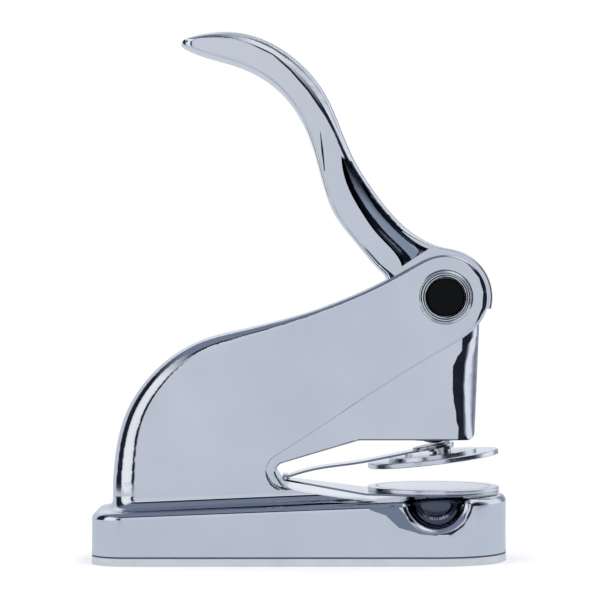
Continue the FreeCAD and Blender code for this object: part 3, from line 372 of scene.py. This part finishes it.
# turned beads run round the axle
def makeRingChrome():
    material, tree, shader = newMaterial("ringChrome", ring["colour"], metal=1.0, rough=0.06)
    shift = vectorMath(tree, "SUBTRACT", objectPoint(tree), ring["centre"])
    radius = vectorMath(tree, "LENGTH", vectorMath(tree, "MULTIPLY", shift, (1, 0, 1)), output="Value")
    share = spread(tree, radius, 0, 1, ring["inner"], ring["outer"])
    beads = [(position, [height] * 3) for position, height in ring["beads"]]
    addBump(tree, shader, makeRamp(tree, share, beads, "EASE"), ring["beadHeight"])
    roughen(tree, shader, objectNoise(tree, *ring["smears"]), *ring["rough"])
    return material


# a hollow's faces lie inside its outline (x and z in mm) and nearer the middle than "flat",
# and from the first to the second of "levels" their painted shade goes from the deep tone to ink
hollows = {
    "handle": {"flat": 0.00945, "levels": (0.0076, 0.0086), "deep": (0.33, 0.375, 0.46),
               "outline": [(13.6, 141.6), (15.4, 131.5), (19.2, 123.5), (25.8, 113.7), (31.1, 108.2),
                           (33.4, 105.5), (34.0, 98.0), (50.0, 98.0), (46.0, 108.7), (40.9, 110.5),
                           (35.6, 114.5), (25.0, 126.1), (17.8, 137.0), (15.4, 139.6)]},
    "frame_casting": {"flat": 0.0236, "levels": (0.0190, 0.0226), "deep": (0.15, 0.17, 0.215),
                      "outline": [(35.6, 26.6), (37.2, 21.0), (41.0, 17.2), (46.5, 15.4), (52.0, 17.2),
                                  (55.8, 21.0), (57.4, 26.6)]},
}


# plating in a hollow has painted shade, darkest just under the rim
def makeHollowPlatingWithPaintedShade(node):
    material, tree, shader = makePlating("hollowPlatingWithPaintedShade." + node)
    _, y, _ = split(tree, objectPoint(tree))
    shade = spread(tree, makeMath(tree, "ABSOLUTE", y), 0, 1, *hollows[node]["levels"])
    tint(tree, shader, shade, hollows[node]["deep"], inkBlue)
    return material


pad = {"colour": (0.53, 0.55, 0.60), "dark": (0.50, 0.52, 0.57), "light": (0.56, 0.58, 0.63),
       "patches": (0.012, 3), "grain": (0.0007, 4), "grainDepth": 0.00003,
       "seam": (-1, 0.0027, 0.0040), "seamColour": (0.09, 0.105, 0.14)}


def makePadPlastic():
    material, tree, shader = newMaterial("padPlastic", pad["colour"], metal=0.0, rough=0.55)
    addBump(tree, shader, objectNoise(tree, *pad["grain"]), pad["grainDepth"])
    tint(tree, shader, spread(tree, objectNoise(tree, *pad["patches"]), 0, 1), pad["dark"], pad["light"])
    # painted shade in a line along the pad's top edge, where the casting meets it
    darken(tree, shader, edgeLine(tree, *pad["seam"]), pad["seamColour"])
    return material


plug = {"colour": (0.002, 0.0023, 0.003), "specular": 0.10, "grain": (0.0005, 3), "grainDepth": 0.00001,
        "rough": (0.25, 0.40)}


def makePlugPlastic():
    material, tree, shader = newMaterial("plugPlastic", plug["colour"], metal=0.0, rough=0.32)
    shader.inputs["Specular IOR Level"].default_value = plug["specular"]
    grain = objectNoise(tree, *plug["grain"])
    addBump(tree, shader, grain, plug["grainDepth"])
    roughen(tree, shader, grain, *plug["rough"])
    return material


noseIron = makeShapedPlating("platedIron.casting", addSlope, "frame_casting")
leverIron = makeShapedPlating("platedIron.lever", addCrown, "handle")
# plating with painted shade for the faces in each hollow
hollowPlatingWithPaintedShade = {node: makeHollowPlatingWithPaintedShade(node) for node in hollows}
turnedChrome = makeTurned("turnedChrome", (0.86, 0.87, 0.90), 0.06)
machinedSteel = makeTurned("machinedSteel", (0.62, 0.63, 0.65), 0.22)
ringChrome = makeRingChrome()
stripSteel = makeStripSteel()
springSteel = makeTurned("springSteel", (0.70, 0.71, 0.74), 0.14)
diePlate = makeTurned("diePlate", (0.82, 0.84, 0.88), 0.16)
bearingBronze = makeTurned("bearingBronze", (0.62, 0.45, 0.24), 0.25)
padPlastic = makePadPlastic()
plugPlastic = makePlugPlastic()
print("materials made")

finishes = {
    "frame_casting": noseIron, "handle": leverIron, "base_pad": padPlastic,
    "axle_ring_left": ringChrome, "axle_ring_right": ringChrome, "guide_bush": turnedChrome,
    "axle_cap_left": plugPlastic, "axle_cap_right": plugPlastic,
    "axle_pin": machinedSteel, "hub_sleeve": bearingBronze, "plunger": machinedSteel,
    "clip_pin": machinedSteel, "rocker_pin": machinedSteel, "locating_peg": machinedSteel,
    "spring_washer": machinedSteel, "holder_stud": machinedSteel, "pad_ferrule": machinedSteel,
    "pressure_pad": machinedSteel, "return_spring": springSteel,
    "upper_leaf_spring": stripSteel, "lower_leaf_spring": stripSteel,
    "upper_die": diePlate, "lower_die": diePlate, "holder_disc": diePlate,
}

bodyOf = {node: body for body, nodes in frame["record"]["behaviour"]["bodies"].items() for node in nodes}


# triangles of one plane that together are large enough to be a real flat
def flatFaces(mesh, smallest):
    areas = {}
    keys = []
    for face in mesh.polygons:
        offset = face.normal.dot(face.center)
        key = (*(round(value, 3) for value in face.normal), round(offset, 5))
        keys.append(key)
        areas[key] = areas.get(key, 0) + face.area
    return [areas[key] > smallest for key in keys]


# corners round one point, grouped where their faces run on smoothly into each other
def smoothGroups(corners, facesOfEdge, normals, limit):
    groups = []
    waiting = dict(corners)
    while waiting:
        face, corner = waiting.popitem()
        group = [(face, corner)]
        for known, _ in group:
            for edge in facesOfEdge[known]:
                for near in edge:
                    if near in waiting and normals[near].dot(normals[known]) > limit:
                        group.append((near, waiting.pop(near)))
        groups.append(group)
    return groups


def cornerAngle(mesh, face, point):
    here = mesh.vertices[point].co
    arms = [mesh.vertices[other].co - here for other in mesh.polygons[face].vertices if other != point]
    if min(arm.length for arm in arms) == 0:
        return 0
    return arms[0].angle(arms[1])


# flats keep their own direction to the edge, and curved faces are averaged
def evenNormals(mesh, angle, smallest):
    flats = flatFaces(mesh, smallest)
    limit = math.cos(math.radians(angle))
    normals = [face.normal.copy() for face in mesh.polygons]
    owners = {}
    around = {}
    for face in mesh.polygons:
        for key in face.edge_keys:
            owners.setdefault(key, []).append(face.index)
        for corner in face.loop_indices:
            around.setdefault(mesh.loops[corner].vertex_index, []).append((face.index, corner))
    facesOfEdge = [[owners[key] for key in face.edge_keys] for face in mesh.polygons]
    result = [mathutils.Vector((0, 0, 1))] * len(mesh.loops)
    for point, corners in around.items():
        for group in smoothGroups(corners, facesOfEdge, normals, limit):
            level = [face for face, corner in group if flats[face]]
            if level:
                even = normals[max(level, key=lambda face: mesh.polygons[face].area)]
            else:
                even = mathutils.Vector((0, 0, 0))
                for face, corner in group:
                    weighted = normals[face] * cornerAngle(mesh, face, point)
                    even += weighted * math.sqrt(mesh.polygons[face].area)
                even.normalize()
            for face, corner in group:
                result[corner] = normals[face] if flats[face] else even
    mesh.normals_split_custom_set(result)


# the faces that line a piece's hollows on both sides get the plating with painted shade
def lineHollow(mesh, node):
    mesh.materials.append(hollowPlatingWithPaintedShade[node])
    corners = [(x / 1000, z / 1000) for x, z in hollows[node]["outline"]]
    sides = list(zip(corners, corners[1:] + corners[:1]))
    for face in mesh.polygons:
        x, y, z = face.center
        crossed = [side for side in sides if (side[0][1] > z) != (side[1][1] > z)]
        reached = [low + (z - base) * (high - low) / (top - base) for (low, base), (high, top) in crossed]
        if sum(edge > x for edge in reached) % 2 and abs(y) < hollows[node]["flat"]:
            face.material_index = 1


# the angle that is smoothed over, and the smallest flat that stays flat
smoothing = {"frame_casting": (46, 0.00008), "handle": (46, 0.00008), "others": (35, 0.0001)}

# worn edges, narrower than the source carries
softEdges = {"angle": 32, "segments": 3, "widths": {
    "upper_leaf_spring": 0.0003, "lower_leaf_spring": 0.0003, "upper_die": 0.0003, "lower_die": 0.0003,
    "holder_disc": 0.0004, "pressure_pad": 0.0003, "axle_cap_left": 0.0003, "axle_cap_right": 0.0003,
    "base_pad": 0.0004, "guide_bush": 0.0003}}

weldDistance = 0.000002


def softenEdges(piece, width):
    bevel = piece.modifiers.new("softEdge", "BEVEL")
    bevel.width = width
    bevel.segments = softEdges["segments"]
    bevel.limit_method = "ANGLE"
    bevel.angle_limit = math.radians(softEdges["angle"])
    makeActive(piece)
    bpy.ops.object.modifier_apply(modifier=bevel.name)


def polishedCopy(node):
    mesh = frame["nodes"][node].data.copy()
    piece = bpy.data.objects.new(node.replace("_", "-") + "-surface", mesh)
    scene.collection.objects.link(piece)
    mesh.materials.clear()
    mesh.materials.append(finishes[node])
    makeActive(piece)
    bpy.ops.object.mode_set(mode="EDIT")
    bpy.ops.mesh.select_all(action="SELECT")
    bpy.ops.mesh.remove_doubles(threshold=weldDistance)
    bpy.ops.mesh.select_all(action="DESELECT")
    bpy.ops.object.mode_set(mode="OBJECT")
    if node in softEdges["widths"]:
        softenEdges(piece, softEdges["widths"][node])
    bpy.ops.object.shade_smooth()
    evenNormals(mesh, *smoothing.get(node, smoothing["others"]))
    if node in hollows:
        lineHollow(mesh, node)
    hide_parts(node)
    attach(piece, bodyOf[node])
    return piece


coil = {"node": "return_spring", "joint": "plunger_slide", "seat": (0.0465, 0, 0.050), "travel": 0.009337}

for node in finishes:
    piece = polishedCopy(node)
    if node == coil["node"]:
        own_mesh(piece)
print("pieces dressed")

studio = {"floorHalf": 3.0, "floorDrop": 0.00001, "floorColour": (0.90, 0.90, 0.90),
          "footprint": (0.0718, 0.0245), "shadowReach": (0.16, 0.26), "plainReach": (0.30, 0.325),
          "underReach": (0.006, 0.014), "skyColour": (0.95, 0.97, 1.0), "skyLight": 0.7,
          "upShare": (0.35, 0.65), "rightLean": (0.0, 0.35)}

# what polished metal sees in each direction, by the angle away from straight ahead
reflections = {
    "upLeft": [(0, greyBlue), (6, highGrey), (25, greyBlue), (27, paleBlue), (31, paleBlue), (34, inkBlue),
               (44, inkBlue), (50, midBlue), (112, midBlue), (120, paleBlue), (150, highGrey),
               (180, paleBlue)],
    "upRight": [(0, greyBlue), (6, highGrey), (23, greyBlue), (26, paleBlue), (31, paleBlue), (34, inkBlue),
                (46, inkBlue), (52, paleBlue), (112, paleBlue), (118, inkBlue), (126, inkBlue),
                (130, paleBlue), (150, highGrey), (180, paleBlue)],
    "left": [(0, greyBlue), (5, leftGrey), (18, leftGrey), (21, inkBlue), (30, inkBlue), (33, paleBlue),
             (48, nearWhite), (64, nearWhite), (76, paleBlue), (82, inkBlue), (112, inkBlue),
             (118, greyBlue), (180, greyBlue)],
    "right": [(0, greyBlue), (5, rightGrey), (20, rightGrey), (24, inkBlue), (76, inkBlue), (86, midBlue),
              (98, paleBlue), (125, paleBlue), (140, midBlue), (180, greyBlue)],
}


def addBands(tree, direction):
    x, y, z = split(tree, direction)
    ahead = makeMath(tree, "DIVIDE", makeMath(tree, "ARCCOSINE", product(tree, y, -1)), math.pi)
    across = product(tree, x, x)
    upward = product(tree, z, makeMath(tree, "MAXIMUM", z, 0))
    both = makeMath(tree, "ADD", makeMath(tree, "ADD", upward, across), 1e-6)  # never a division by 0
    share = spread(tree, makeMath(tree, "DIVIDE", upward, both), 0, 1, *studio["upShare"])
    steepness = makeMath(tree, "ADD", makeMath(tree, "ABSOLUTE", z), 0.001)  # nor here
    rightward = spread(tree, makeMath(tree, "DIVIDE", x, steepness), 0, 1, *studio["rightLean"])
    ramps = {name: makeRamp(tree, ahead, [(angle / 180, colour) for angle, colour in stops])
             for name, stops in reflections.items()}
    sides = mixColours(tree, makeMath(tree, "GREATER_THAN", x, 0), ramps["left"], ramps["right"])
    above = mixColours(tree, rightward, ramps["upLeft"], ramps["upRight"])
    return mixColours(tree, share, sides, above)


# metal sees the floor with a painted shadow under the pad, plain round it and in bands farther out
def floorInMetal(tree, place):
    outside = {}
    for axis, along, half in zip("XY", split(tree, place), studio["footprint"]):
        beyond = makeMath(tree, "SUBTRACT", makeMath(tree, "ABSOLUTE", along), half)
        outside[axis] = makeMath(tree, "MAXIMUM", beyond, 0)
    outward = addNode(tree, "ShaderNodeCombineXYZ", outside)
    gap = vectorMath(tree, "LENGTH", outward.outputs["Vector"], output="Value")
    banded = spread(tree, gap, 0, 1, *studio["plainReach"])
    mirrored = mixColours(tree, banded, (*greyBlue, 1), addBands(tree, vectorMath(tree, "NORMALIZE", place)))
    clear = spread(tree, gap, 0, 1, *studio["underReach"])
    return mixColours(tree, clear, (*shadowBlue, 1), mirrored)


def makeFloor():
    bpy.ops.mesh.primitive_plane_add(size=2 * studio["floorHalf"], location=(0, 0, -studio["floorDrop"]))
    floor = bpy.context.active_object
    floor.name = "floor"
    material, tree, shader = newMaterial("paleFloor", studio["floorColour"], metal=0.0, rough=0.8)
    place = objectPoint(tree)
    far = spread(tree, vectorMath(tree, "LENGTH", place, output="Value"), 0, 1, *studio["shadowReach"])
    bright = addNode(tree, "ShaderNodeEmission", {"Color": (1, 1, 1, 1), "Strength": 1.0})
    plain = mixShaders(tree, far, shader.outputs["BSDF"], bright.outputs["Emission"])
    inMetal = addNode(tree, "ShaderNodeEmission", {"Color": floorInMetal(tree, place), "Strength": 1.0})
    path = addNode(tree, "ShaderNodeLightPath")
    seen = mixShaders(tree, path.outputs["Is Glossy Ray"], plain, inMetal.outputs["Emission"])
    tree.links.new(seen, tree.nodes["Material Output"].inputs["Surface"])
    floor.data.materials.append(material)


def addSky(tree, colour, strength):
    sky = addNode(tree, "ShaderNodeBackground", {"Color": colour, "Strength": strength})
    return sky.outputs["Background"]


def makeWorld():
    world = bpy.data.worlds.new("studio")
    scene.world = world
    world.use_nodes = True
    tree = world.node_tree
    tree.nodes.clear()
    place = addNode(tree, "ShaderNodeTexCoord")
    path = addNode(tree, "ShaderNodeLightPath")
    soft = addSky(tree, (*studio["skyColour"], 1), studio["skyLight"])
    mirrored = addSky(tree, addBands(tree, place.outputs["Generated"]), 1.0)
    bright = addSky(tree, (1, 1, 1, 1), 1.0)
    inMetal = mixShaders(tree, path.outputs["Is Glossy Ray"], soft, mirrored)
    clear = makeMath(tree, "MAXIMUM", path.outputs["Is Camera Ray"], path.outputs["Is Transmission Ray"])
    addNode(tree, "ShaderNodeOutputWorld", {"Surface": mixShaders(tree, clear, inMetal, bright)})


lamps = {
    "topLight": {"place": (0.0, -0.1, 1.1), "target": (0, 0, 0.08), "size": (1.2, 1.2), "power": 9},
    "leftLight": {"place": (-1.0, -0.5, 0.6), "target": (0, 0, 0.08), "size": (0.5, 1.0), "power": 4},
    "rightLight": {"place": (1.0, -0.3, 0.5), "target": (0.03, 0, 0.08), "size": (0.3, 0.9), "power": 3},
}


def makeLamp(name, place, target, size, power):
    data = bpy.data.lights.new(name, "AREA")
    data.shape = "RECTANGLE"
    data.size, data.size_y = size
    data.energy = power
    lamp = bpy.data.objects.new(name, data)
    scene.collection.objects.link(lamp)
    lamp.location = place
    aim = mathutils.Vector(target) - mathutils.Vector(place)
    lamp.rotation_euler = aim.to_track_quat("-Z", "Y").to_euler()
    lamp.visible_glossy = False


camera = {"place": (-0.00012, -0.840, 0.09065), "lens": 144, "sensor": 36, "nearest": 0.01}


def makeCamera():
    data = bpy.data.cameras.new("camera")
    data.lens = camera["lens"]
    data.sensor_width = camera["sensor"]
    data.clip_start = camera["nearest"]
    thing = bpy.data.objects.new("camera", data)
    scene.collection.objects.link(thing)
    thing.location = camera["place"]
    thing.rotation_euler = (math.radians(90), 0, 0)
    scene.camera = thing


makeFloor()
makeWorld()
for name, lamp in lamps.items():
    makeLamp(name, **lamp)
makeCamera()
print("studio made")
